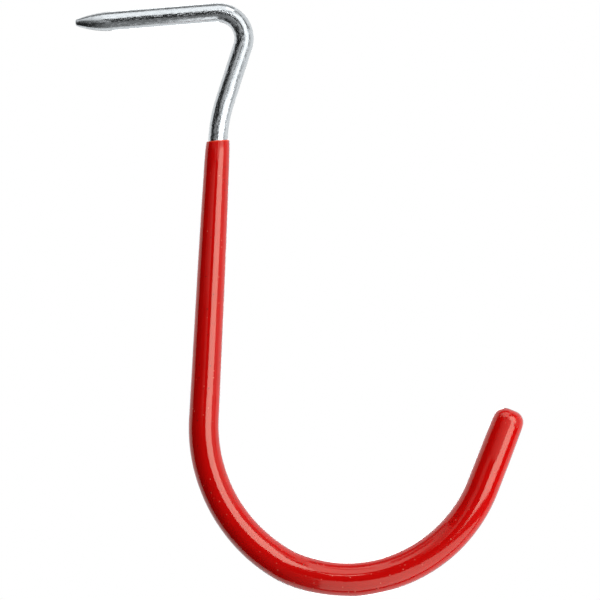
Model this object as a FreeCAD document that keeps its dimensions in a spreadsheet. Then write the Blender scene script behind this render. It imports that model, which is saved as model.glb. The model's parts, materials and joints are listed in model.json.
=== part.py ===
import FreeCAD, Part
import math
import os

import Sketcher

# A drive-in garage hook: one zinc-plated steel rod, pointed at one end and bent into a J,
# with its shank and bowl dipped in soft vinyl. The spike is driven into a stud until the
# heel of the bowl meets the wall.
#
# Frame: the origin is on the spike's axis where the wall's face crosses it, +X points out
# of the wall, +Z up, and the spike points along -X. The hook lies in the XZ plane.

# Driving dimensions in millimetres and degrees; radii of bends are those of the rod's axis
DIMENSIONS = {
    # The rod and its ground point
    "rod_diameter": 6.35,
    "point_length": 12.3,
    "point_flat": 1.8,
    "point_rounding": 0.7,
    # The rod's run, in the order it is bent
    "spike_length": 34.4,
    "top_bend_radius": 8.5,
    "top_bend_angle": 112.6,
    "neck_length": 18.8,
    "neck_bend_radius": 50.2,
    "neck_bend_angle": 15.1,
    "shank_length": 92.3,
    "heel_radius": 52.6,
    "heel_angle": 61.7,
    "knuckle_radius": 29.5,
    "knuckle_angle": 10.7,
    "front_radius": 48.3,
    "front_angle": 89.3,
    "lip_length": 24.4,
    # Thickness of the vinyl, which drained towards the bowl before it set
    "edge_thickness": 0.55,
    "shoulder_thickness": 0.98,
    "heel_thickness": 1.95,
    "bowl_thickness": 2.5,
    "lip_thickness": 2.0,
    "end_thickness": 2.65,
    # Places along the shank, measured from the end of the neck's bend
    "dip_drop": 0.3,
    "shoulder_drop": 6.5,
    # Rounding of the vinyl's closed end
    "end_rounding": 4.0,
}

# The rod's run from the spike's shoulder to its cut end. A straight names its length;
# a bend names its radius, its angle and its turn, 1 for anticlockwise.
RUNS = [
    ("spike", "spike_length"),
    ("top_bend", "top_bend_radius", "top_bend_angle", -1),
    ("neck", "neck_length"),
    ("neck_bend", "neck_bend_radius", "neck_bend_angle", 1),
    ("shank", "shank_length"),
    ("heel", "heel_radius", "heel_angle", 1),
    ("knuckle", "knuckle_radius", "knuckle_angle", 1),
    ("front", "front_radius", "front_angle", 1),
    ("lip", "lip_length"),
]
RUN_NAMES = [run[0] for run in RUNS]
COATED_NAMES = RUN_NAMES[RUN_NAMES.index("shank"):]

# Places of the sketcher's own axes and of points on a piece of sketch geometry
SKETCH_ORIGIN = (-1, 1)
SKETCH_X_AXIS = -1
FIRST_EXTERNAL = -3
START, END, CENTRE = 1, 2, 3

# Where two lengths in a finished shape count as the same, in millimetres
TOLERANCE = 0.01

ZERO = FreeCAD.Vector(0, 0, 0)
SKETCH_NORMAL = FreeCAD.Vector(0, 0, 1)


def size(name):
    return DIMENSIONS[name]


def cells(formula):
    """Turn the dimension names in a formula into references to the sheet."""
    return " ".join("dimensions." + word if word in DIMENSIONS else word for word in formula.split())


def fill_sheet(doc):
    sheet = doc.addObject("Spreadsheet::Sheet", "dimensions")
    for row, (name, value) in enumerate(DIMENSIONS.items(), start=1):
        sheet.set("A%d" % row, name)
        sheet.set("B%d" % row, str(value))
        sheet.setAlias("B%d" % row, name)
    doc.recompute()


def add_sketch(body, name, support, mode):
    sketch = body.newObject("Sketcher::SketchObject", name)
    sketch.AttachmentSupport = support
    sketch.MapMode = mode
    return sketch


def side_plane(body):
    plane = next(item for item in body.Origin.OriginFeatures if item.Role == "XZ_Plane")
    return (plane, "")


def relate(sketch, *relations):
    for relation in relations:
        sketch.addConstraint(Sketcher.Constraint(*relation))


def drive(sketch, formula, *constraint):
    """Add a sized constraint whose value follows a formula of the sheet."""
    index = sketch.addConstraint(Sketcher.Constraint(*constraint))
    sketch.setExpression("Constraints[%d]" % index, cells(formula))


# The rod's centre line


def is_bend(run):
    return len(run) > 2


def run_end(run, leaving):
    """Which end of a run's geometry the rod leaves or enters by; arcs are stored anticlockwise."""
    backwards = is_bend(run) and run[3] < 0
    return END if leaving != backwards else START


def lay_runs(sketch):
    """Lay the straights and bends end to end from the spike's shoulder."""
    place = ZERO
    heading = 0.0
    for run in RUNS:
        forward = FreeCAD.Vector(math.cos(heading), math.sin(heading), 0)
        if not is_bend(run):
            following = place + forward * size(run[1])
            sketch.addGeometry(Part.LineSegment(place, following), False)
            place = following
            continue
        radius, turn = size(run[1]), run[3]
        swing = math.radians(size(run[2])) * turn
        centre = place + FreeCAD.Vector(-forward.y, forward.x, 0) * radius * turn
        first = heading - turn * math.pi / 2
        last = first + swing
        circle = Part.Circle(centre, SKETCH_NORMAL, radius)
        sketch.addGeometry(Part.ArcOfCircle(circle, min(first, last), max(first, last)), False)
        place = centre + FreeCAD.Vector(math.cos(last), math.sin(last), 0) * radius
        heading += swing


def draw_wire_path(body):
    sketch = add_sketch(body, "wire_path", side_plane(body), "FlatFace")
    lay_runs(sketch)
    for index, (run, following) in enumerate(zip(RUNS, RUNS[1:])):
        relate(sketch, ("Tangent", index, run_end(run, True), index + 1, run_end(following, False)))
    for index, run in enumerate(RUNS):
        if is_bend(run):
            drive(sketch, run[1], "Radius", index, size(run[1]))
            drive(sketch, run[2], "Angle", index, math.radians(size(run[2])))
        else:
            drive(sketch, run[1], "Distance", index, size(run[1]))
    # The spike lies on the X axis, and the vinyl on the heel touches the wall's face at X = 0
    spike, heel = RUN_NAMES.index("spike"), RUN_NAMES.index("heel")
    relate(sketch, ("Horizontal", spike), ("PointOnObject", spike, START, SKETCH_X_AXIS))
    standoff = size("heel_radius") + size("rod_diameter") / 2 + size("heel_thickness")
    formula = "heel_radius + rod_diameter / 2 + heel_thickness"
    drive(sketch, formula, "DistanceX", *SKETCH_ORIGIN, heel, CENTRE, standoff)
    return sketch


def add_round_section(body, name, path, edge, along, diameter):
    """A circle square to the rod's run, a given share of the way along one edge of it."""
    section = add_sketch(body, name, (path, edge), "NormalToEdge")
    section.setExpression("MapPathParameter", cells(along))
    first_guess = size("rod_diameter")
    section.addGeometry(Part.Circle(ZERO, SKETCH_NORMAL, first_guess / 2), False)
    relate(section, ("Coincident", 0, CENTRE, *SKETCH_ORIGIN))
    drive(section, diameter, "Diameter", 0, first_guess)
    return section


def round_rim(body, name, base, centre, radius, rounding):
    """Round the circular edge of a feature that has this centre and radius."""
    for index, edge in enumerate(base.Shape.Edges, start=1):
        circle = edge.Curve
        if circle.TypeId != "Part::GeomCircle" or abs(circle.Radius - radius) > TOLERANCE:
            continue
        if circle.Center.distanceToPoint(centre) < TOLERANCE:
            fillet = body.newObject("PartDesign::Fillet", name)
            fillet.Base = (base, ["Edge%d" % index])
            fillet.setExpression("Radius", cells(rounding))
            return
    raise RuntimeError("%s has no rim of radius %g mm" % (base.Name, radius))


# The steel rod


def draw_point_profile(body, path):
    """Half of the ogive: its flank leaves the rod's side smoothly and ends at a blunt tip."""
    sketch = add_sketch(body, "point_profile", side_plane(body), "FlatFace")
    sketch.addExternal(path.Name, "Edge1")
    length, half_rod, half_flat = size("point_length"), size("rod_diameter") / 2, size("point_flat") / 2
    base = path.Shape.Vertexes[0].X
    drop = half_rod - half_flat
    flank_radius = (length ** 2 + drop ** 2) / (2 * drop)
    swing = math.asin(length / flank_radius)
    base_centre, base_rim = FreeCAD.Vector(base, 0, 0), FreeCAD.Vector(base, half_rod, 0)
    tip_centre, tip_rim = FreeCAD.Vector(base - length, 0, 0), FreeCAD.Vector(base - length, half_flat, 0)
    flank_circle = Part.Circle(FreeCAD.Vector(base, half_rod - flank_radius, 0), SKETCH_NORMAL, flank_radius)
    sketch.addGeometry(Part.LineSegment(base_centre, base_rim), False)
    sketch.addGeometry(Part.ArcOfCircle(flank_circle, math.pi / 2, math.pi / 2 + swing), False)
    sketch.addGeometry(Part.LineSegment(tip_rim, tip_centre), False)
    sketch.addGeometry(Part.LineSegment(tip_centre, base_centre), False)
    shoulder, flank, blunt, axis = range(4)
    relate(
        sketch,
        ("Coincident", shoulder, START, FIRST_EXTERNAL, START),
        ("Coincident", shoulder, END, flank, START),
        ("Coincident", flank, END, blunt, START),
        ("Coincident", blunt, END, axis, START),
        ("Coincident", axis, END, shoulder, START),
        ("Vertical", shoulder),
        ("Vertical", blunt),
        ("Horizontal", axis),
        ("Vertical", flank, CENTRE, shoulder, END),
    )
    drive(sketch, "rod_diameter / 2", "Distance", shoulder, half_rod)
    drive(sketch, "point_flat / 2", "Distance", blunt, half_flat)
    drive(sketch, "point_length", "Distance", axis, length)
    return sketch


def make_steel_rod(doc):
    body = doc.addObject("PartDesign::Body", "steel_rod")
    path = draw_wire_path(body)
    doc.recompute()
    rod = body.newObject("PartDesign::AdditivePipe", "bent_rod")
    rod.Profile = add_round_section(body, "rod_section", path, "Edge1", "0", "rod_diameter")
    rod.Spine = (path, ["Edge%d" % (index + 1) for index in range(len(RUNS))])
    doc.recompute()
    profile = draw_point_profile(body, path)
    point = body.newObject("PartDesign::Revolution", "ground_point")
    point.Profile = profile
    point.ReferenceAxis = (profile, ["H_Axis"])
    doc.recompute()
    tip = path.Shape.Vertexes[0].Point - FreeCAD.Vector(size("point_length"), 0, 0)
    round_rim(body, "blunt_tip", point, tip, size("point_flat") / 2, "point_rounding")
    doc.recompute()
    return body, path


# The vinyl coating


def coated_edge(run):
    return "Edge%d" % (COATED_NAMES.index(run) + 1)


def coat_diameter(thickness):
    return "rod_diameter + 2 * " + thickness


def draw_sleeve_profile(body, name, path, run, stations):
    """Half the section of a straight sleeve.

    A station is the distance along the run, as names of lengths to add up, and the thickness there.
    """
    sketch = add_sketch(body, name, side_plane(body), "FlatFace")
    sketch.addExternal(path.Name, coated_edge(run))
    first, last = (vertex.Point for vertex in path.Shape.Edges[COATED_NAMES.index(run)].Vertexes)
    origin = FreeCAD.Vector(first.x, first.z, 0)
    forward = (FreeCAD.Vector(last.x, last.z, 0) - origin).normalize()
    outward = FreeCAD.Vector(-forward.y, forward.x, 0)
    feet, rims = [], []
    for lengths, thickness in stations:
        feet.append(origin + forward * sum(size(length) for length in lengths))
        rims.append(feet[-1] + outward * (size("rod_diameter") / 2 + size(thickness)))
    count = len(stations)
    # Spokes from the axis to the skin at each station; only the end ones bound the section
    for index in range(count):
        inner = 0 < index < count - 1
        sketch.addGeometry(Part.LineSegment(feet[index], rims[index]), inner)
    for index in range(count - 1):
        sketch.addGeometry(Part.LineSegment(rims[index], rims[index + 1]), False)
    sketch.addGeometry(Part.LineSegment(feet[-1], feet[0]), False)
    axis = 2 * count - 1
    relate(
        sketch,
        ("Coincident", 0, START, FIRST_EXTERNAL, START),
        ("Coincident", axis, END, 0, START),
        ("Coincident", axis, START, count - 1, START),
    )
    for index, (lengths, thickness) in enumerate(stations):
        relate(sketch, ("Perpendicular", index, FIRST_EXTERNAL))
        spoke = feet[index].distanceToPoint(rims[index])
        drive(sketch, "rod_diameter / 2 + " + thickness, "Distance", index, spoke)
        if index > 0:
            relate(sketch, ("PointOnObject", index, START, FIRST_EXTERNAL))
            along = feet[0].distanceToPoint(feet[index])
            drive(sketch, " + ".join(lengths), "Distance", 0, START, index, START, along)
            relate(sketch, ("Coincident", count + index - 1, END, index, END))
        if index < count - 1:
            relate(sketch, ("Coincident", count + index, START, index, END))
    return sketch


def add_sleeve(doc, body, name, path, run, stations):
    sleeve = body.newObject("PartDesign::Revolution", name)
    sleeve.Profile = draw_sleeve_profile(body, name + "_profile", path, run, stations)
    sleeve.ReferenceAxis = (path, [coated_edge(run)])
    doc.recompute()
    return sleeve


def add_bent_sleeve(doc, body, name, path, run, first_thickness, last_thickness):
    """A sleeve round one bend, which tapers where its two ends differ."""
    sleeve = body.newObject("PartDesign::AdditivePipe", name)
    edge = coated_edge(run)
    sleeve.Spine = (path, [edge])
    sleeve.Profile = add_round_section(body, name + "_start", path, edge, "0", coat_diameter(first_thickness))
    if first_thickness != last_thickness:
        last = add_round_section(body, name + "_end", path, edge, "1", coat_diameter(last_thickness))
        sleeve.Transformation = "Multisection"
        sleeve.Sections = [(last, [""])]
    doc.recompute()


def cut_at_bath_level(doc, body, path):
    """The vinyl stops at the level of the bath, so its edge is level and not square to the shank."""
    level = add_sketch(body, "bath_level", (path, "Vertex1"), "Translate")
    level.setExpression("AttachmentOffset.Base.z", cells("0 - dip_drop"))
    reach = size("rod_diameter")
    level.addGeometry(Part.Circle(ZERO, SKETCH_NORMAL, reach), False)
    relate(level, ("Coincident", 0, CENTRE, *SKETCH_ORIGIN))
    drive(level, "rod_diameter", "Radius", 0, reach)
    above = body.newObject("PartDesign::Pocket", "above_bath")
    above.Profile = level
    above.Reversed = True
    above.setExpression("Length", cells("rod_diameter"))
    doc.recompute()


def make_vinyl_coating(doc, wire_path):
    body = doc.addObject("PartDesign::Body", "vinyl_coating")
    path = body.newObject("PartDesign::SubShapeBinder", "coated_path")
    path.Support = [(wire_path, ["Edge%d" % (RUN_NAMES.index(run) + 1) for run in COATED_NAMES])]
    doc.recompute()
    shank_stations = [
        ([], "edge_thickness"),
        (["shoulder_drop"], "shoulder_thickness"),
        (["shank_length"], "heel_thickness"),
    ]
    lip_stations = [([], "bowl_thickness"), (["lip_length", "end_thickness"], "lip_thickness")]
    add_sleeve(doc, body, "shank_sleeve", path, "shank", shank_stations)
    add_bent_sleeve(doc, body, "heel_sleeve", path, "heel", "heel_thickness", "heel_thickness")
    add_bent_sleeve(doc, body, "knuckle_sleeve", path, "knuckle", "heel_thickness", "bowl_thickness")
    add_bent_sleeve(doc, body, "front_sleeve", path, "front", "bowl_thickness", "bowl_thickness")
    lip = add_sleeve(doc, body, "lip_sleeve", path, "lip", lip_stations)
    lip_start, rod_end = (vertex.Point for vertex in path.Shape.Edges[-1].Vertexes)
    vinyl_end = rod_end + (rod_end - lip_start).normalize() * size("end_thickness")
    lip_radius = size("rod_diameter") / 2 + size("lip_thickness")
    round_rim(body, "rounded_end", lip, vinyl_end, lip_radius, "end_rounding")
    doc.recompute()
    cut_at_bath_level(doc, body, path)
    bore = body.newObject("PartDesign::SubtractivePipe", "rod_bore")
    bore.Profile = add_round_section(body, "bore_section", path, coated_edge("shank"), "0", "rod_diameter")
    bore.Spine = (path, [coated_edge(run) for run in COATED_NAMES])
    doc.recompute()
    return body


def check(doc, bodies):
    for item in doc.Objects:
        if "Invalid" in item.State or "Error" in item.State:
            raise RuntimeError("%s did not build: %s" % (item.Name, item.State))
    for body in bodies:
        if body.Shape.isNull() or not body.Shape.isValid() or len(body.Shape.Solids) != 1:
            raise RuntimeError("%s is not one valid solid" % body.Label)


def main():
    doc = FreeCAD.newDocument("garage_hook")
    fill_sheet(doc)
    steel_rod, wire_path = make_steel_rod(doc)
    vinyl_coating = make_vinyl_coating(doc, wire_path)
    bodies = [steel_rod, vinyl_coating]
    check(doc, bodies)
    os.makedirs("parts", exist_ok=True)
    for body in bodies:
        body.Shape.exportStep("parts/%s.step" % body.Label)
        print("%s: %.1f mm3" % (body.Label, body.Shape.Volume))


main()
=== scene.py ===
import json
import math
from collections import namedtuple

import bpy
from mathutils import Matrix, Vector


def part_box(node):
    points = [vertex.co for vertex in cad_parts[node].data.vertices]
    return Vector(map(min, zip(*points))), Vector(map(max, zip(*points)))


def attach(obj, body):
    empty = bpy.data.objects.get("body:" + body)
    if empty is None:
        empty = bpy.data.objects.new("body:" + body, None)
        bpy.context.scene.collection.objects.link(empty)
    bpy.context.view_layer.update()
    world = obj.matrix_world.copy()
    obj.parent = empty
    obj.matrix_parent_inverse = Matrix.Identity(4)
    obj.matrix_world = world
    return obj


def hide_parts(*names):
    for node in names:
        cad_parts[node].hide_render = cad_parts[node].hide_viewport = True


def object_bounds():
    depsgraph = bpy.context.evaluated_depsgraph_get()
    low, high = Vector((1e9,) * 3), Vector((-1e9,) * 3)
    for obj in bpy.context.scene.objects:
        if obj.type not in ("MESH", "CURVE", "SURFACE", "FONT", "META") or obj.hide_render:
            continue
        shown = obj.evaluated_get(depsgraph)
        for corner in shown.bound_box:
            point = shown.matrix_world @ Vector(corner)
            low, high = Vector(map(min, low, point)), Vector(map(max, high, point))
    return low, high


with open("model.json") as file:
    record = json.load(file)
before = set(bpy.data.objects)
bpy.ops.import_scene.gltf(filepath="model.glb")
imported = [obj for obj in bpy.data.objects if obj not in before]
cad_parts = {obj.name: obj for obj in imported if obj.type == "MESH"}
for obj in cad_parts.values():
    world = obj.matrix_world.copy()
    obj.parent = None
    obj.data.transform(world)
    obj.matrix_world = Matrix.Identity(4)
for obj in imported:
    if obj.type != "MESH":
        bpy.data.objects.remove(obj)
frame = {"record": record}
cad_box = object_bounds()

# A drive-in garage hook: a bent zinc-plated rod whose shank and bowl are dipped in red vinyl.
# Both pieces are half-sections turned about the rod's centre line, in the frame of the solids:
# +X out of the wall, +Z up, the hook in the XZ plane. Lengths are millimetres until drawn.

MM = 0.001

# The rod's size comes from the frame's own spike
SPIKE = next(mount for mount in frame["record"]["mounts"] if mount["name"] == "spike")
ROD_RADIUS = SPIKE["dims"]["r_mm"]
TIP_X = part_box("steel_rod")[0].x / MM

# The ground point: an ogive with a blunt nose, ground a little more from below
POINT_LENGTH = 12.3
POINT_FLAT_RADIUS = 0.9
NOSE_ROUNDING = 0.7
NOSE_LIFT = 0.4

# The rod's run from the spike's shoulder to its cut end: a straight gives its length,
# a bend its radius and its turn in degrees, anticlockwise positive
Run = namedtuple("Run", "name length radius turn", defaults=(0.0, 0.0))


def straight(name, length):
    return Run(name, length)


def bend(name, radius, turn):
    return Run(name, radius * math.radians(abs(turn)), radius, turn)


RUNS = [
    straight("spike", SPIKE["dims"]["length_mm"]),
    bend("top_bend", 8.5, -112.6),
    straight("neck", 18.8),
    bend("neck_bend", 50.2, 15.1),
    straight("shank", 92.3),
    bend("heel", 52.6, 61.7),
    bend("knuckle", 29.5, 10.7),
    bend("front", 48.3, 89.3),
    straight("lip", 24.4),
]

# The vinyl: diameters at places along the runs, and its closed end beyond the rod's
DIP_DROP = 0.3
COAT_DIAMETERS = [
    ("shank", DIP_DROP, 7.5),
    ("shank", 2.6, 7.95),
    ("shank", 7.0, 8.25),
    ("shank", 15.0, 8.5),
    ("shank", 38.0, 9.1),
    ("heel", 0.0, 9.9),
    ("heel", 32.0, 10.42),
    ("knuckle", 0.0, 10.95),
    ("front", 22.0, 11.05),
    ("front", 55.0, 10.92),
    ("lip", 0.0, 10.7),
    ("lip", 10.0, 10.66),
    ("lip", 17.0, 10.5),
    ("lip", 27.0, 10.1),
]
END_THICKNESS = 2.5
END_ROUNDING = 3.8
EDGE_ROUNDING = 0.25
EDGE_GRIP = 0.08

# The dip line is level, so it leans against the shank; the lean fades out over this length below it
LEAN_FADE = 9.0

# A drip that set under the bowl: its place in degrees round the front bend, its half-length and height,
# and how closely it keeps to the bend's outer side
DRIP_ANGLE = 24.0
DRIP_HALF_LENGTH = 3.0
DRIP_HEIGHT = 0.15
DRIP_FOCUS = 3.0

# Slight waves in the skin of the vinyl
WAVE_HEIGHT = 0.05
WAVE_LENGTH = 9.0
WAVE_SEED = 3.0

# Spacing of the centre line's points and of the meshes' rows, and sides around the rod
LINE_STEP = 0.1
VISIBLE_STEP = 0.6
HIDDEN_STEP = 1.5
SIDES = 88
ARC_STEPS = 12

# Points nearer than this are one point: the seam and the poles
CLOSING_DISTANCE = 0.002


def run_named(name):
    return next(run for run in RUNS if run.name == name)


def runs_before(name):
    """The runs from the spike's shoulder up to a named one."""
    return RUNS[:RUNS.index(run_named(name))]


def run_start(name):
    """Distance along the rod, from the spike's shoulder, where a run starts."""
    return sum(run.length for run in runs_before(name))


ROD_END = sum(run.length for run in RUNS)
COAT_END = ROD_END + END_THICKNESS
DIP_EDGE = run_start("shank") + DIP_DROP
EDGE_LEAN = math.radians(sum(run.turn for run in runs_before("shank")) + 90)


# The centre line


def centre_line_points():
    """Points of the centre line from the nose to past the vinyl's end, close enough to read as smooth."""
    place = Vector((TIP_X, 0.0, 0.0))
    heading = 0.0
    points = [place.copy()]
    tail = straight("vinyl_end", 2 * END_THICKNESS)
    for run in [straight("point", POINT_LENGTH)] + RUNS + [tail]:
        steps = max(1, round(run.length / LINE_STEP))
        swing = math.radians(run.turn) / steps
        for _ in range(steps):
            chord = run.length / steps
            if run.turn:
                chord = 2 * run.radius * math.sin(abs(swing) / 2)
            middle = heading + swing / 2
            place = place + Vector((math.cos(middle), 0.0, math.sin(middle))) * chord
            heading += swing
            points.append(place.copy())
    return points


def draw_centre_line():
    curve = bpy.data.curves.new("centre_line", "CURVE")
    curve.dimensions = "3D"
    points = centre_line_points()
    spline = curve.splines.new("POLY")
    spline.points.add(len(points) - 1)
    for target, point in zip(spline.points, points):
        target.co = (point * MM).to_4d()
    line = bpy.data.objects.new("centre_line", curve)
    bpy.context.collection.objects.link(line)
    return line


# Half-sections: rows of a distance along the rod and a radius, with weights for what shapes each row

Row = namedtuple("Row", "along radius lift lean wave drip", defaults=(0.0, 0.0, 0.0, 0.0))


def spread(first, last, step):
    """Evenly spaced values from first to last, both ends included."""
    count = max(1, round(abs(last - first) / step))
    return [first + (last - first) * index / count for index in range(count + 1)]


def smooth_between(stations, along):
    """A value on a smooth curve through stations of (distance, value), which does not overshoot them."""
    slopes = [(b[1] - a[1]) / (b[0] - a[0]) for a, b in zip(stations, stations[1:])]
    tangents = [slopes[0]]
    for before, after in zip(slopes, slopes[1:]):
        tangents.append(2 * before * after / (before + after) if before * after > 0 else 0.0)
    tangents.append(slopes[-1])
    for index, (a, b) in enumerate(zip(stations, stations[1:])):
        if along <= b[0] or index == len(slopes) - 1:
            width = b[0] - a[0]
            t = (along - a[0]) / width
            rise = tangents[index] * width
            settle = tangents[index + 1] * width
            return ((2 * t ** 3 - 3 * t ** 2 + 1) * a[1] + (t ** 3 - 2 * t ** 2 + t) * rise
                    + (3 * t ** 2 - 2 * t ** 3) * b[1] + (t ** 3 - t ** 2) * settle)


def steel_rod_rows():
    """From the rod's cut end back along it, down the ogive flank and round the nose."""
    drop = ROD_RADIUS - POINT_FLAT_RADIUS
    flank_radius = (POINT_LENGTH ** 2 + drop ** 2) / (2 * drop)

    def flank(along):
        return ROD_RADIUS - flank_radius + math.sqrt(flank_radius ** 2 - along ** 2)

    def lift(along):
        return NOSE_LIFT * min(1.0, max(0.0, -along / POINT_LENGTH)) ** 2

    rows = []
    nose_start = -POINT_LENGTH + NOSE_ROUNDING
    nose_radius = flank(nose_start)
    for step in range(ARC_STEPS + 1):
        # A quarter of an ellipse from the nose's centre to the flank
        angle = math.pi / 2 * step / ARC_STEPS
        along = nose_start - NOSE_ROUNDING * math.cos(angle)
        rows.append(Row(along, nose_radius * math.sin(angle), lift=lift(along)))
    for along in spread(nose_start, 0.0, VISIBLE_STEP)[1:]:
        rows.append(Row(along, flank(along), lift=lift(along)))
    hidden_from = DIP_EDGE + LEAN_FADE
    for along in spread(0.0, hidden_from, VISIBLE_STEP)[1:] + spread(hidden_from, ROD_END, HIDDEN_STEP)[1:]:
        rows.append(Row(along, ROD_RADIUS))
    rows.append(Row(ROD_END, 0.0))
    # Built from the nose, then turned round: faces look outwards when rows start at the far end
    rows.reverse()
    return rows


def vinyl_coating_rows():
    """From the closed end back along the skin, round the dip line's edge and down the bore to its end."""
    stations = [(run_start(name) + along, diameter / 2) for name, along, diameter in COAT_DIAMETERS]
    front = run_named("front")
    drip_at = run_start("front") + front.length * DRIP_ANGLE / front.turn

    def lean(along):
        share = min(1.0, max(0.0, (along - DIP_EDGE) / LEAN_FADE))
        return 1.0 - share * share * (3.0 - 2.0 * share)

    def drip(along):
        return math.exp(-((along - drip_at) / DRIP_HALF_LENGTH) ** 2)

    end_radius = stations[-1][1]
    rows = [Row(COAT_END, 0.0)]
    for step in range(ARC_STEPS + 1):
        angle = math.pi / 2 * step / ARC_STEPS
        along = COAT_END - END_ROUNDING * (1 - math.cos(angle))
        radius = end_radius - END_ROUNDING * (1 - math.sin(angle))
        rows.append(Row(along, radius, wave=step / ARC_STEPS))
    edge_start = DIP_EDGE + EDGE_ROUNDING
    for along in spread(COAT_END - END_ROUNDING, edge_start, VISIBLE_STEP)[1:]:
        radius = smooth_between(stations, along)
        rows.append(Row(along, radius, lean=lean(along), wave=1.0 - lean(along), drip=drip(along)))
    edge_radius = rows[-1].radius
    inner_radius = ROD_RADIUS + EDGE_GRIP
    for step in range(1, ARC_STEPS + 1):
        angle = math.pi / 2 * step / ARC_STEPS
        along = edge_start - EDGE_ROUNDING * math.sin(angle)
        radius = inner_radius + (edge_radius - inner_radius) * math.cos(angle)
        rows.append(Row(along, radius, lean=lean(along)))
    for along in spread(DIP_EDGE + EDGE_GRIP, ROD_END, HIDDEN_STEP):
        rows.append(Row(along, ROD_RADIUS, lean=lean(along)))
    rows.append(Row(ROD_END, 0.0))
    return rows


def draw_half_section(name, rows):
    """A polyline of distance, radius and lift, with how much each row leans, waves and drips."""
    mesh = bpy.data.meshes.new(name)
    places = [(row.along * MM, row.radius * MM, row.lift * MM) for row in rows]
    links = [(index, index + 1) for index in range(len(rows) - 1)]
    mesh.from_pydata(places, links, [])
    weights = mesh.attributes.new("weights", "FLOAT_VECTOR", "POINT")
    weights.data.foreach_set("vector", [value for row in rows for value in (row.lean, row.wave, row.drip)])
    piece = bpy.data.objects.new(name, mesh)
    bpy.context.collection.objects.link(piece)
    return piece


# Nodes


def add_node(tree, kind, settings=None, inputs=()):
    """Add a node with its settings; its inputs, in order or by name, take values or links."""
    node = tree.nodes.new(kind)
    for name, value in (settings or {}).items():
        setattr(node, name, value)
    named = inputs if isinstance(inputs, dict) else dict(enumerate(inputs))
    for place, value in named.items():
        target = node.inputs[place]
        if isinstance(value, bpy.types.NodeSocket):
            tree.links.new(value, target)
        else:
            target.default_value = value
    return node


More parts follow.
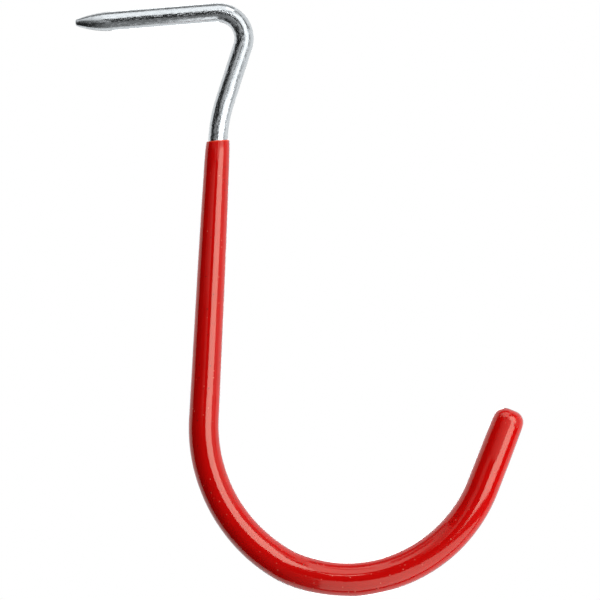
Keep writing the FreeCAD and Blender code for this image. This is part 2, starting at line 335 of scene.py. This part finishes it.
def turned_section_tree():
    """A geometry tree that turns a half-section about a centre line it follows."""
    tree = bpy.data.node_groups.new("turned_section", "GeometryNodeTree")
    kinds = {
        "Half section": "NodeSocketGeometry",
        "Centre line": "NodeSocketObject",
        "Start": "NodeSocketFloat",
        "Sides": "NodeSocketInt",
        "Edge lean": "NodeSocketFloat",
        "Drip height": "NodeSocketFloat",
        "Wave height": "NodeSocketFloat",
        "Wave length": "NodeSocketFloat",
        "Wave seed": "NodeSocketFloat",
        "Finish": "NodeSocketMaterial",
    }
    for name, kind in kinds.items():
        tree.interface.new_socket(name, in_out="INPUT", socket_type=kind)
    tree.interface.new_socket("Piece", in_out="OUTPUT", socket_type="NodeSocketGeometry")
    given = add_node(tree, "NodeGroupInput").outputs
    math_node = "ShaderNodeMath"
    add, take = {"operation": "ADD"}, {"operation": "SUBTRACT"}
    times, over = {"operation": "MULTIPLY"}, {"operation": "DIVIDE"}

    # One grid row for each point of the half-section, one column for each side and one to close it
    size = add_node(tree, "GeometryNodeAttributeDomainSize", {"component": "MESH"}, [given["Half section"]])
    columns = add_node(tree, math_node, add, [given["Sides"], 1.0]).outputs[0]
    grid = add_node(tree, "GeometryNodeMeshGrid", None,
                    {"Vertices X": size.outputs["Point Count"], "Vertices Y": columns})
    index = add_node(tree, "GeometryNodeInputIndex").outputs[0]
    middle = add_node(tree, math_node, add, [index, 0.5]).outputs[0]
    share = add_node(tree, math_node, over, [middle, columns]).outputs[0]
    row = add_node(tree, math_node, {"operation": "FLOOR"}, [share]).outputs[0]
    before = add_node(tree, math_node, times, [row, columns]).outputs[0]
    column = add_node(tree, math_node, take, [index, before]).outputs[0]
    part_turn = add_node(tree, math_node, over, [column, given["Sides"]]).outputs[0]
    angle = add_node(tree, math_node, times, [part_turn, math.tau]).outputs[0]
    cosine = add_node(tree, math_node, {"operation": "COSINE"}, [angle]).outputs[0]
    sine = add_node(tree, math_node, {"operation": "SINE"}, [angle]).outputs[0]

    # What the half-section says of that row
    sampled = {"data_type": "FLOAT_VECTOR", "domain": "POINT"}
    place = add_node(tree, "GeometryNodeInputPosition").outputs[0]
    place = add_node(tree, "GeometryNodeSampleIndex", sampled,
                     {"Geometry": given["Half section"], "Value": place, "Index": row}).outputs["Value"]
    section = add_node(tree, "ShaderNodeSeparateXYZ", None, [place]).outputs
    along, radius, lift = section["X"], section["Y"], section["Z"]
    weights = add_node(tree, "GeometryNodeInputNamedAttribute", {"data_type": "FLOAT_VECTOR"}, ["weights"])
    weights = weights.outputs["Attribute"]
    weights = add_node(tree, "GeometryNodeSampleIndex", sampled,
                       {"Geometry": given["Half section"], "Value": weights, "Index": row}).outputs["Value"]
    weight = add_node(tree, "ShaderNodeSeparateXYZ", None, [weights]).outputs
    lean, waviness, drip = weight["X"], weight["Y"], weight["Z"]

    # The level dip line slides each side along the rod by its height across the shank
    slope = add_node(tree, math_node, {"operation": "TANGENT"}, [given["Edge lean"]]).outputs[0]
    height = add_node(tree, math_node, times, [radius, cosine]).outputs[0]
    slide = add_node(tree, math_node, times, [height, slope]).outputs[0]
    slide = add_node(tree, math_node, times, [slide, lean]).outputs[0]
    along = add_node(tree, math_node, add, [along, slide]).outputs[0]

    # The drip hangs on the outer side of the bend
    under = add_node(tree, math_node, times, [cosine, -1.0]).outputs[0]
    under = add_node(tree, math_node, {"operation": "MAXIMUM"}, [under, 0.0]).outputs[0]
    under = add_node(tree, math_node, {"operation": "POWER"}, [under, DRIP_FOCUS]).outputs[0]
    drip = add_node(tree, math_node, times, [drip, given["Drip height"]]).outputs[0]
    drip = add_node(tree, math_node, times, [drip, under]).outputs[0]
    radius = add_node(tree, math_node, add, [radius, drip]).outputs[0]

    # Waves in the skin, laid out as if the rod were straight
    x = add_node(tree, math_node, times, [radius, cosine]).outputs[0]
    y = add_node(tree, math_node, times, [radius, sine]).outputs[0]
    straightened = add_node(tree, "ShaderNodeCombineXYZ", None, [x, y, along]).outputs[0]
    wave_scale = add_node(tree, math_node, over, [1.0, given["Wave length"]]).outputs[0]
    noise = add_node(tree, "ShaderNodeTexNoise", {"noise_dimensions": "4D"},
                     {"Vector": straightened, "W": given["Wave seed"], "Scale": wave_scale, "Detail": 1.0})
    wave = add_node(tree, math_node, take, [noise.outputs[0], 0.5]).outputs[0]
    wave = add_node(tree, math_node, times, [wave, given["Wave height"]]).outputs[0]
    wave = add_node(tree, math_node, times, [wave, waviness]).outputs[0]
    radius = add_node(tree, math_node, add, [radius, wave]).outputs[0]

    # The rod's frame at that distance: along it, across it in its plane, and sideways
    line = add_node(tree, "GeometryNodeObjectInfo", None, {"Object": given["Centre line"]})
    length = add_node(tree, math_node, take, [along, given["Start"]]).outputs[0]
    on_line = add_node(tree, "GeometryNodeSampleCurve", {"mode": "LENGTH"},
                       {"Curves": line.outputs["Geometry"], "Length": length})
    sideways = (0.0, 1.0, 0.0)
    vector_node = "ShaderNodeVectorMath"
    scale = {"operation": "SCALE"}
    tangent = on_line.outputs["Tangent"]
    across = add_node(tree, vector_node, {"operation": "CROSS_PRODUCT"}, [tangent, sideways]).outputs[0]
    out = add_node(tree, math_node, {"operation": "MULTIPLY_ADD"}, [radius, cosine, lift]).outputs[0]
    out = add_node(tree, vector_node, scale, {0: across, "Scale": out}).outputs[0]
    aside = add_node(tree, math_node, times, [radius, sine]).outputs[0]
    aside = add_node(tree, vector_node, scale, {0: sideways, "Scale": aside}).outputs[0]
    offset = add_node(tree, vector_node, add, [out, aside]).outputs[0]
    point = add_node(tree, vector_node, add, [on_line.outputs["Position"], offset]).outputs[0]

    # The way round the rod, which draw lines cross
    back = add_node(tree, math_node, times, [sine, -1.0]).outputs[0]
    back = add_node(tree, vector_node, scale, {0: across, "Scale": back}).outputs[0]
    ahead = add_node(tree, vector_node, scale, {0: sideways, "Scale": cosine}).outputs[0]
    around = add_node(tree, vector_node, add, [back, ahead]).outputs[0]

    # The mesh, which keeps its straightened place and the way round for the materials
    stored = add_node(tree, "GeometryNodeStoreNamedAttribute", sampled,
                      {"Geometry": grid.outputs["Mesh"], "Name": "along_rod", "Value": straightened})
    stored = add_node(tree, "GeometryNodeStoreNamedAttribute", sampled,
                      {"Geometry": stored.outputs[0], "Name": "around_rod", "Value": around})
    placed = add_node(tree, "GeometryNodeSetPosition", None,
                      {"Geometry": stored.outputs[0], "Position": point})
    closed = add_node(tree, "GeometryNodeMergeByDistance", None,
                      {"Geometry": placed.outputs[0], "Distance": CLOSING_DISTANCE * MM})
    turned = add_node(tree, "GeometryNodeFlipFaces", None, {"Mesh": closed.outputs[0]})
    smooth = add_node(tree, "GeometryNodeSetShadeSmooth", None, {"Geometry": turned.outputs[0]})
    real = add_node(tree, "GeometryNodeRealizeInstances", None, {"Geometry": smooth.outputs[0]})
    finished = add_node(tree, "GeometryNodeSetMaterial", None,
                        {"Geometry": real.outputs[0], "Material": given["Finish"]})
    add_node(tree, "NodeGroupOutput", None, {"Piece": finished.outputs[0]})
    return tree


def turn_piece(name, rows, tree, line, finish):
    """Turn a half-section into a plain mesh piece."""
    piece = draw_half_section(name, rows)
    modifier = piece.modifiers.new("turned", "NODES")
    modifier.node_group = tree
    values = {
        "Centre line": line,
        "Start": -POINT_LENGTH * MM,
        "Sides": SIDES,
        "Edge lean": EDGE_LEAN,
        "Drip height": DRIP_HEIGHT * MM,
        "Wave height": WAVE_HEIGHT * MM,
        "Wave length": WAVE_LENGTH * MM,
        "Wave seed": WAVE_SEED,
        "Finish": finish,
    }
    for item in tree.interface.items_tree:
        if item.name in values:
            modifier[item.identifier] = values[item.name]
    depsgraph = bpy.context.evaluated_depsgraph_get()
    mesh = bpy.data.meshes.new_from_object(piece.evaluated_get(depsgraph), preserve_all_data_layers=True,
                                           depsgraph=depsgraph)
    section = piece.data
    piece.modifiers.remove(modifier)
    piece.data = mesh
    bpy.data.meshes.remove(section)
    mesh.name = name
    return piece


# Materials


def colour(code):
    """An sRGB hex colour as linear RGBA."""
    channels = [int(code[index:index + 2], 16) / 255 for index in (1, 3, 5)]
    linear = [c / 12.92 if c <= 0.04045 else ((c + 0.055) / 1.055) ** 2.4 for c in channels]
    return (*linear, 1.0)


def new_material(name):
    material = bpy.data.materials.new(name)
    material.use_nodes = True
    tree = material.node_tree
    return material, tree, tree.nodes["Principled BSDF"]


def per_metre(millimetres):
    """The texture scale whose features are this many millimetres apart."""
    return 1.0 / (millimetres * MM)


# The steel's finish: widths, lengths and relief of its marks, the noise over which a fleck goes from
# clear to matt, and how rough each is
DRAW_LINE_WIDTH = 0.35
DRAW_LINE_LENGTH = 7.0
GRAIN_WIDTH = 0.4
GRAIN_LENGTH = 1.4
STEEL_RELIEF = 0.015
FLECK_STARTS = 0.42
FLECK_IS_FULL = 0.66
CLEAR_ROUGHNESS = 0.1
MATT_ROUGHNESS = 0.34


def zinc_plated_steel():
    """Cold-drawn steel rod, bright zinc plated: a soft mirror, streaked along the draw and finely grained."""
    material, tree, shader = new_material("zinc_plated_steel")
    place = add_node(tree, "ShaderNodeAttribute", {"attribute_name": "along_rod"}).outputs["Vector"]
    times = {"operation": "MULTIPLY"}
    # Draw lines run along the rod; real ones are too fine to show, so these are about a pixel wide
    streak_scale = (per_metre(DRAW_LINE_WIDTH), per_metre(DRAW_LINE_WIDTH), per_metre(DRAW_LINE_LENGTH))
    streak_place = add_node(tree, "ShaderNodeVectorMath", times, [place, streak_scale]).outputs[0]
    streaks = add_node(tree, "ShaderNodeTexNoise", None,
                       {"Vector": streak_place, "Scale": 1.0, "Detail": 2.0, "Roughness": 0.6}).outputs[0]
    tint = add_node(tree, "ShaderNodeMix", {"data_type": "RGBA"},
                    {0: streaks, 6: colour("#B8BDC1"), 7: colour("#DADFE2")})
    tree.links.new(tint.outputs[2], shader.inputs["Base Color"])
    # The plating's grain: matt flecks drawn out along the rod in a clearer mirror, as coarse as they show
    grain_scale = (per_metre(GRAIN_WIDTH), per_metre(GRAIN_WIDTH), per_metre(GRAIN_LENGTH))
    grain_place = add_node(tree, "ShaderNodeVectorMath", times, [place, grain_scale]).outputs[0]
    grain = add_node(tree, "ShaderNodeTexNoise", None,
                     {"Vector": grain_place, "Scale": 1.0, "Detail": 2.0, "Roughness": 0.6}).outputs[0]
    rough = add_node(tree, "ShaderNodeMapRange", None,
                     {"Value": grain, "From Min": FLECK_STARTS, "From Max": FLECK_IS_FULL,
                      "To Min": CLEAR_ROUGHNESS, "To Max": MATT_ROUGHNESS})
    tree.links.new(rough.outputs[0], shader.inputs["Roughness"])
    relief = add_node(tree, "ShaderNodeMath", {"operation": "ADD"}, [streaks, grain]).outputs[0]
    bump = add_node(tree, "ShaderNodeBump", None,
                    {"Strength": 1.0, "Distance": STEEL_RELIEF * MM, "Height": relief})
    tree.links.new(bump.outputs[0], shader.inputs["Normal"])
    # Draw lines spread a reflection across the rod and leave it sharper along it
    around = add_node(tree, "ShaderNodeAttribute", {"attribute_name": "around_rod"}).outputs["Vector"]
    tree.links.new(around, shader.inputs["Tangent"])
    shader.inputs["Anisotropic"].default_value = 0.8
    shader.inputs["Metallic"].default_value = 1.0
    return material


# The vinyl's finish: sizes of its clouds, orange peel and relief, how far apart its cells for specks lie,
# a speck's core and edge in shares of a cell, the share of cells with none, the share of dark specks,
# how far a speck stands out against the peel, and where below its thin edge the glow starts and is full
CLOUD_SIZE = 14.0
PEEL_SIZE = 2.2
VINYL_RELIEF = 0.05
SPECK_SPACING = 1.6
SPECK_CORE = 0.06
SPECK_EDGE = 0.17
BARE_CELLS = 0.5
DARK_SPECKS = 0.4
SPECK_STAND = 0.6
GLOW_STARTS = 0.6
GLOW_IS_FULL = 0.15


def red_vinyl():
    """Dipped PVC plastisol: a thick glossy red skin with specks and pits, and an orange glow at its edge."""
    material, tree, shader = new_material("red_vinyl")
    place = add_node(tree, "ShaderNodeAttribute", {"attribute_name": "along_rod"}).outputs["Vector"]
    blend = {"data_type": "RGBA"}
    clouds = add_node(tree, "ShaderNodeTexNoise", None,
                      {"Vector": place, "Scale": per_metre(CLOUD_SIZE), "Detail": 6.0, "Roughness": 0.8})
    body = add_node(tree, "ShaderNodeMix", blend,
                    {0: clouds.outputs[0], 6: colour("#C30202"), 7: colour("#E30605")}).outputs[2]
    # Specks and pits: one in about half the cells, near a third of a millimetre across
    cells = add_node(tree, "ShaderNodeTexVoronoi", {"feature": "F1"},
                     {"Vector": place, "Scale": per_metre(SPECK_SPACING)})
    speck_size = add_node(tree, "ShaderNodeMapRange", None,
                          {"Value": cells.outputs["Distance"], "From Min": SPECK_CORE, "From Max": SPECK_EDGE,
                           "To Min": 1.0, "To Max": 0.0}).outputs[0]
    chance = add_node(tree, "ShaderNodeSeparateColor", None, [cells.outputs["Color"]]).outputs
    above = {"operation": "GREATER_THAN"}
    kept = add_node(tree, "ShaderNodeMath", above, [chance[0], BARE_CELLS]).outputs[0]
    speck = add_node(tree, "ShaderNodeMath", {"operation": "MULTIPLY"}, [speck_size, kept]).outputs[0]
    pale = add_node(tree, "ShaderNodeMath", above, [chance[1], DARK_SPECKS]).outputs[0]
    speck_tint = add_node(tree, "ShaderNodeMix", blend,
                          {0: pale, 6: colour("#640504"), 7: colour("#EC6E5C")}).outputs[2]
    specked = add_node(tree, "ShaderNodeMix", blend, {0: speck, 6: body, 7: speck_tint}).outputs[2]
    # The thin edge at the level dip line lets light through
    height = add_node(tree, "ShaderNodeTexCoord").outputs["Object"]
    height = add_node(tree, "ShaderNodeSeparateXYZ", None, [height]).outputs["Z"]
    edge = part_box("vinyl_coating")[1].z
    thin = add_node(tree, "ShaderNodeMapRange", None,
                    {"Value": height, "From Min": edge - GLOW_STARTS * MM,
                     "From Max": edge - GLOW_IS_FULL * MM}).outputs[0]
    tint = add_node(tree, "ShaderNodeMix", blend, {0: thin, 6: specked, 7: colour("#EE3F20")}).outputs[2]
    tree.links.new(tint, shader.inputs["Base Color"])
    peel = add_node(tree, "ShaderNodeTexNoise", None,
                    {"Vector": place, "Scale": per_metre(PEEL_SIZE), "Detail": 3.0}).outputs[0]
    relief = add_node(tree, "ShaderNodeMath", {"operation": "MULTIPLY_ADD"}, [speck, SPECK_STAND, peel])
    bump = add_node(tree, "ShaderNodeBump", None,
                    {"Strength": 0.5, "Distance": VINYL_RELIEF * MM, "Height": relief.outputs[0]})
    tree.links.new(bump.outputs[0], shader.inputs["Normal"])
    shader.inputs["Roughness"].default_value = 0.1
    shader.inputs["IOR"].default_value = 1.53
    # The sheen of the soft skin is a little warm
    shader.inputs["Specular Tint"].default_value = colour("#FFFAE6")
    return material


# The stage: a pale floor far under the hook, lamps, and boards, cloth and nets that only reflections see

HOOK_CENTRE = Vector((40.0, 0.0, -97.0))

# The floor, which fades out between two shares of its radius
FLOOR_DROP = 180.0
FLOOR_RADIUS = 900.0
FLOOR_SIDES = 96
FADE_STARTS = 0.35
FADE_ENDS = 0.95

# Dark cloth round the camera's side: a dome turned to the left and lowered, in degrees
FLAG_RADIUS = 2500.0
FLAG_HALF_ANGLE = 82.0
FLAG_TURN = -21.0
FLAG_DIP = 6.0
FLAG_RINGS = 24
FLAG_SIDES = 48

# The cloth's faint light, and where it changes: parts of a step of one from the hook, along X or Z
FLAG_GLOW = 0.015
FLAG_FRONT_GLOW = 0.03
FLAG_FOOT_GLOW = 0.2
FLAG_FRONT_CHANGE = (-0.85, 0.0)
FLAG_FOOT_CHANGE = (-0.85, -0.1)
FLAG_SIDE_CHANGE = (-0.5, -0.1)

# Boards round the hook, each a corner and two edges with its level of light; one with a far level
# goes from its own level to that between two places along X
Board = namedtuple("Board", "name corner side rise level far_level turns", defaults=(None, None))
BOARDS = [
    # Soft boxes: the key to the right, a thin one high in front, one overhead and one low in front
    Board("key_box", (439.0, -1601.0, -600.0), (1010.0, 788.0, -237.0), (0.0, 0.0, 2030.0), 4.8),
    Board("strip_box", (40.0, -700.0, 185.0), (110.0, 0.0, 0.0), (0.0, 0.0, 50.0), 7.0),
    Board("top_box", (-420.0, 0.0, 360.0), (674.0, 0.0, 0.0), (0.0, -630.0, 0.0), 0.65,
          far_level=2.1, turns=(-340.0, -60.0)),
    Board("low_box", (0.0, -22.0, -350.0), (330.0, 0.0, 0.0), (0.0, -775.0, 0.0), 1.2,
          far_level=1.95, turns=(0.0, 110.0)),
    # Cards: two before the shank, one before the lip, three that the neck mirrors, one under the spike,
    # two that carry on the box overhead to the back and to the front, and one to the right
    Board("front_card", (-230.0, -400.0, -106.0), (188.0, 0.0, -24.0), (0.0, 0.0, 53.0), 0.05,
          far_level=0.42, turns=(-200.0, -45.0)),
    Board("high_card", (-560.0, -400.0, -10.0), (518.0, 0.0, -67.0), (0.0, 0.0, 60.0), 0.14,
          far_level=0.6, turns=(-320.0, -45.0)),
    Board("lip_card", (68.1, -40.0, -139.6), (44.1, 0.0, -21.4), (10.9, 0.0, 22.5), 0.12,
          far_level=0.85, turns=(72.0, 114.0)),
    Board("neck_card", (-111.0, -900.0, 28.0), (-720.0, 0.0, 300.0), (30.7, 0.0, 73.8), 0.25,
          far_level=0.85, turns=(-800.0, -100.0)),
    Board("neck_edge_card", (639.0, -500.0, -337.0), (958.0, 0.0, -401.0), (42.0, 0.0, 101.5), 0.45),
    Board("neck_front_card", (22.0, -100.0, -42.2), (30.0, 0.0, -3.9), (9.0, 0.0, 38.0), 1.7),
    Board("spike_card", (-28.0, -26.0, -30.0), (52.0, 0.0, 0.0), (0.0, -58.0, 0.0), 0.22),
    Board("top_card", (-420.0, 0.0, 360.0), (674.0, 0.0, 0.0), (0.0, 250.0, 0.0), 0.2),
    Board("top_front_card", (-420.0, -630.0, 360.0), (220.0, 0.0, 0.0), (0.0, -620.0, 0.0), 0.5),
    Board("side_card", (605.0, -300.0, -310.0), (0.0, 360.0, 0.0), (0.0, 0.0, 450.0), 0.65),
    # Cloth, dark or grey: behind the low box and over its near right half, and below and above the side card
    Board("low_cloth", (0.0, -22.0, -350.0), (340.0, 0.0, 0.0), (0.0, 36.0, 0.0), 0.02),
    Board("low_front_cloth", (10.0, -795.0, -345.0), (320.0, 788.0, 0.0), (210.0, 0.0, 0.0), 0.05),
    Board("side_cloth", (605.0, -300.0, -800.0), (0.0, 360.0, 0.0), (0.0, 0.0, 490.0), 0.05),
    Board("high_cloth", (605.0, -300.0, 140.0), (0.0, 360.0, 0.0), (0.0, 0.0, 700.0), 0.26),
    # Behind the hook: a tall strip before dark cloth
    Board("back_box", (-60.0, 1200.0, -700.0), (200.0, 0.0, 0.0), (0.0, 0.0, 1200.0), 5.0),
    Board("back_cloth", (-300.0, 1210.0, -700.0), (680.0, 0.0, 0.0), (0.0, 0.0, 1200.0), 0.1),
]

# Nets close to the steel, which let through a share of what its brightest bands mirror
Net = namedtuple("Net", "name corner side rise share")
NETS = [
    Net("spike_net", (-60.0, 2.0, 20.0), (90.0, 0.0, 0.0), (0.0, -32.0, 0.0), 0.68),
    Net("neck_net", (35.0, -68.0, -38.5), (54.0, 42.0, -7.0), (0.0, 0.0, 98.0), 0.34),
]

# Lamps that light without showing in reflections: degrees round and up from the camera's side of the
# hook, distance, width and height, and level of light
Lamp = namedtuple("Lamp", "name azimuth elevation distance width height level")
LAMPS = [
    Lamp("key_lamp", 45.0, 18.0, 780.0, 500.0, 900.0, 1.0),
    Lamp("top_lamp", -60.0, 62.0, 620.0, 540.0, 520.0, 0.27),
    Lamp("low_lamp", 85.0, -60.0, 400.0, 300.0, 300.0, 0.45),
    Lamp("back_lamp", -140.0, 10.0, 700.0, 400.0, 700.0, 0.36),
]

# The share of the white background's light that falls on matt surfaces
WORLD_LIGHT = 0.22


def new_stage_piece(name, points, faces, material):
    mesh = bpy.data.meshes.new(name)
    mesh.from_pydata([tuple(point * MM) for point in points], [], faces)
    mesh.materials.append(material)
    piece = bpy.data.objects.new(name, mesh)
    bpy.context.collection.objects.link(piece)
    return piece


def only_in_reflections(piece):
    piece.visible_camera = False
    piece.visible_diffuse = False
    piece.visible_shadow = False
    piece.visible_transmission = False


def floor_material():
    """Matt white card that fades into the background at its rim."""
    material, tree, shader = new_material("white_card")
    place = add_node(tree, "ShaderNodeTexCoord").outputs["Object"]
    flat = add_node(tree, "ShaderNodeVectorMath", {"operation": "MULTIPLY"}, [place, (1.0, 1.0, 0.0)])
    reach = add_node(tree, "ShaderNodeVectorMath", {"operation": "LENGTH"}, [flat.outputs[0]])
    fade = add_node(tree, "ShaderNodeMapRange", {"interpolation_type": "SMOOTHSTEP"},
                    {"Value": reach.outputs["Value"], "From Min": FADE_STARTS * FLOOR_RADIUS * MM,
                     "From Max": FADE_ENDS * FLOOR_RADIUS * MM})
    clear = add_node(tree, "ShaderNodeBsdfTransparent")
    mixed = add_node(tree, "ShaderNodeMixShader", None,
                     [fade.outputs[0], shader.outputs[0], clear.outputs[0]])
    tree.links.new(mixed.outputs[0], tree.nodes["Material Output"].inputs["Surface"])
    shader.inputs["Base Color"].default_value = colour("#FFFFFF")
    shader.inputs["Roughness"].default_value = 0.9
    return material


def flag_material():
    """Black cloth shown by a faint painted glow in place of the light it would catch, a little brighter in
    front of the hook and towards its foot.
    """
    material, tree, _ = new_material("black_cloth")
    place = add_node(tree, "ShaderNodeTexCoord").outputs["Object"]
    way = add_node(tree, "ShaderNodeVectorMath", {"operation": "SUBTRACT"}, [place, tuple(HOOK_CENTRE * MM)])
    way = add_node(tree, "ShaderNodeVectorMath", {"operation": "NORMALIZE"}, [way.outputs[0]]).outputs[0]
    way = add_node(tree, "ShaderNodeSeparateXYZ", None, [way]).outputs
    front = add_node(tree, "ShaderNodeMapRange", None,
                     {"Value": way["X"], "From Min": FLAG_FRONT_CHANGE[0], "From Max": FLAG_FRONT_CHANGE[1],
                      "To Min": FLAG_GLOW, "To Max": FLAG_FRONT_GLOW})
    foot = add_node(tree, "ShaderNodeMapRange", None,
                    {"Value": way["Z"], "From Min": FLAG_FOOT_CHANGE[0], "From Max": FLAG_FOOT_CHANGE[1],
                     "To Min": FLAG_FOOT_GLOW, "To Max": 0.0})
    aside = add_node(tree, "ShaderNodeMapRange", None,
                     {"Value": way["X"], "From Min": FLAG_SIDE_CHANGE[0], "From Max": FLAG_SIDE_CHANGE[1]})
    level = add_node(tree, "ShaderNodeMath", {"operation": "MULTIPLY_ADD"},
                     [foot.outputs[0], aside.outputs[0], front.outputs[0]])
    glow = add_node(tree, "ShaderNodeEmission", None,
                    {"Color": colour("#FFFFFF"), "Strength": level.outputs[0]})
    tree.links.new(glow.outputs[0], tree.nodes["Material Output"].inputs["Surface"])
    return material


def glow_material(board):
    """The face of a soft box, a card or cloth, as a mirror shows it."""
    material, tree, _ = new_material(board.name + "_face")
    glow = add_node(tree, "ShaderNodeEmission", None, {"Strength": board.level})
    if board.far_level is not None:
        place = add_node(tree, "ShaderNodeTexCoord").outputs["Object"]
        place = add_node(tree, "ShaderNodeSeparateXYZ", None, [place]).outputs["X"]
        start, end = board.turns
        level = add_node(tree, "ShaderNodeMapRange", None,
                         {"Value": place, "From Min": start * MM, "From Max": end * MM,
                          "To Min": board.level, "To Max": board.far_level})
        tree.links.new(level.outputs[0], glow.inputs["Strength"])
    tree.links.new(glow.outputs[0], tree.nodes["Material Output"].inputs["Surface"])
    return material


def net_material(net):
    """Fine net, which dims what lies behind it."""
    material, tree, _ = new_material(net.name + "_weave")
    clear = add_node(tree, "ShaderNodeBsdfTransparent", None, [(net.share, net.share, net.share, 1.0)])
    tree.links.new(clear.outputs[0], tree.nodes["Material Output"].inputs["Surface"])
    return material


def add_floor():
    level = cad_box[0][2] / MM - FLOOR_DROP
    angles = [math.tau * side / FLOOR_SIDES for side in range(FLOOR_SIDES)]
    corners = [Vector((FLOOR_RADIUS * math.cos(angle), FLOOR_RADIUS * math.sin(angle), level))
               for angle in angles]
    floor = new_stage_piece("floor", corners, [list(range(FLOOR_SIDES))], floor_material())
    floor.visible_glossy = False
    floor.visible_diffuse = False


def add_front_flag():
    """A dome round the camera's side of the hook; what lies behind the hook stays white."""
    dip = Matrix.Rotation(math.radians(FLAG_DIP), 3, "X")
    turn = Matrix.Rotation(math.radians(FLAG_TURN), 3, "Z") @ dip
    points, faces = [], []
    for ring in range(FLAG_RINGS + 1):
        opening = math.radians(FLAG_HALF_ANGLE) * ring / FLAG_RINGS
        for side in range(FLAG_SIDES):
            around = math.tau * side / FLAG_SIDES
            point = Vector((math.sin(opening) * math.cos(around), -math.cos(opening),
                            math.sin(opening) * math.sin(around)))
            points.append(HOOK_CENTRE + turn @ point * FLAG_RADIUS)
    for ring in range(FLAG_RINGS):
        for side in range(FLAG_SIDES):
            first = ring * FLAG_SIDES + side
            second = ring * FLAG_SIDES + (side + 1) % FLAG_SIDES
            faces.append([first, second, second + FLAG_SIDES, first + FLAG_SIDES])
    only_in_reflections(new_stage_piece("front_flag", points, faces, flag_material()))


def add_panel(panel, material):
    """A flat panel from its corner and two edges, which only reflections see."""
    first, side, rise = Vector(panel.corner), Vector(panel.side), Vector(panel.rise)
    corners = [first, first + side, first + side + rise, first + rise]
    only_in_reflections(new_stage_piece(panel.name, corners, [[0, 1, 2, 3]], material))


def add_panels():
    for board in BOARDS:
        add_panel(board, glow_material(board))
    for net in NETS:
        add_panel(net, net_material(net))


def add_lamps():
    """Soft lamps that look at the hook's centre, each lighting a white card that faces it to its level."""
    for lamp in LAMPS:
        azimuth, elevation = math.radians(lamp.azimuth), math.radians(lamp.elevation)
        flat = math.cos(elevation)
        aim = Vector((math.sin(azimuth) * flat, -math.cos(azimuth) * flat, math.sin(elevation)))
        light = bpy.data.lights.new(lamp.name, "AREA")
        light.shape = "RECTANGLE"
        light.size = lamp.width * MM
        light.size_y = lamp.height * MM
        light.energy = lamp.level * (math.pi * lamp.distance * MM) ** 2
        holder = bpy.data.objects.new(lamp.name, light)
        holder.location = (HOOK_CENTRE + aim * lamp.distance) * MM
        holder.rotation_euler = aim.to_track_quat("Z", "Y").to_euler()
        bpy.context.collection.objects.link(holder)
        holder.visible_camera = False
        holder.visible_glossy = False


def light_world():
    """White to the eye and in reflections; a softer grey as light on the object."""
    world = bpy.data.worlds.new("studio")
    bpy.context.scene.world = world
    world.use_nodes = True
    tree = world.node_tree
    back = tree.nodes["Background"]
    ray = add_node(tree, "ShaderNodeLightPath").outputs
    either = {"operation": "MAXIMUM"}
    seen = add_node(tree, "ShaderNodeMath", either, [ray["Is Camera Ray"], ray["Is Glossy Ray"]]).outputs[0]
    seen = add_node(tree, "ShaderNodeMath", either, [seen, ray["Is Transmission Ray"]]).outputs[0]
    level = add_node(tree, "ShaderNodeMapRange", None, {"Value": seen, "To Min": WORLD_LIGHT, "To Max": 1.0})
    tree.links.new(level.outputs[0], back.inputs["Strength"])
    back.inputs["Color"].default_value = colour("#FFFFFF")


# The photograph's view: square to the hook's plane, rolled so that the spike climbs to the right
VIEW_CENTRE = Vector((40.37, 0.0, -96.83))
VIEW_WIDTH = 198.18
VIEW_ROLL = 4.618
VIEW_REACH = 20000.0
LENS = 300.0
SENSOR = 36.0


def add_camera():
    camera = bpy.data.cameras.new("camera")
    camera.lens = LENS
    camera.sensor_width = SENSOR
    camera.clip_end = VIEW_REACH * MM
    distance = VIEW_WIDTH * LENS / SENSOR
    holder = bpy.data.objects.new("camera", camera)
    facing = Matrix.Rotation(math.pi / 2, 3, "X") @ Matrix.Rotation(math.radians(-VIEW_ROLL), 3, "Z")
    holder.location = (VIEW_CENTRE + Vector((0.0, -distance, 0.0))) * MM
    holder.rotation_euler = facing.to_euler()
    bpy.context.collection.objects.link(holder)
    bpy.context.scene.camera = holder


def build_hook():
    line = draw_centre_line()
    tree = turned_section_tree()
    rod = turn_piece("zinc_rod", steel_rod_rows(), tree, line, zinc_plated_steel())
    coat = turn_piece("vinyl_skin", vinyl_coating_rows(), tree, line, red_vinyl())
    bpy.data.objects.remove(line)
    for piece, node, slot in ((rod, "steel_rod", "zinc_plated_steel"), (coat, "vinyl_coating", "red_vinyl")):
        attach(piece, "root")
        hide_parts(node)


build_hook()
add_floor()
add_front_flag()
add_panels()
add_lamps()
light_world()
add_camera()
bpy.context.scene.view_settings.view_transform = "Standard"
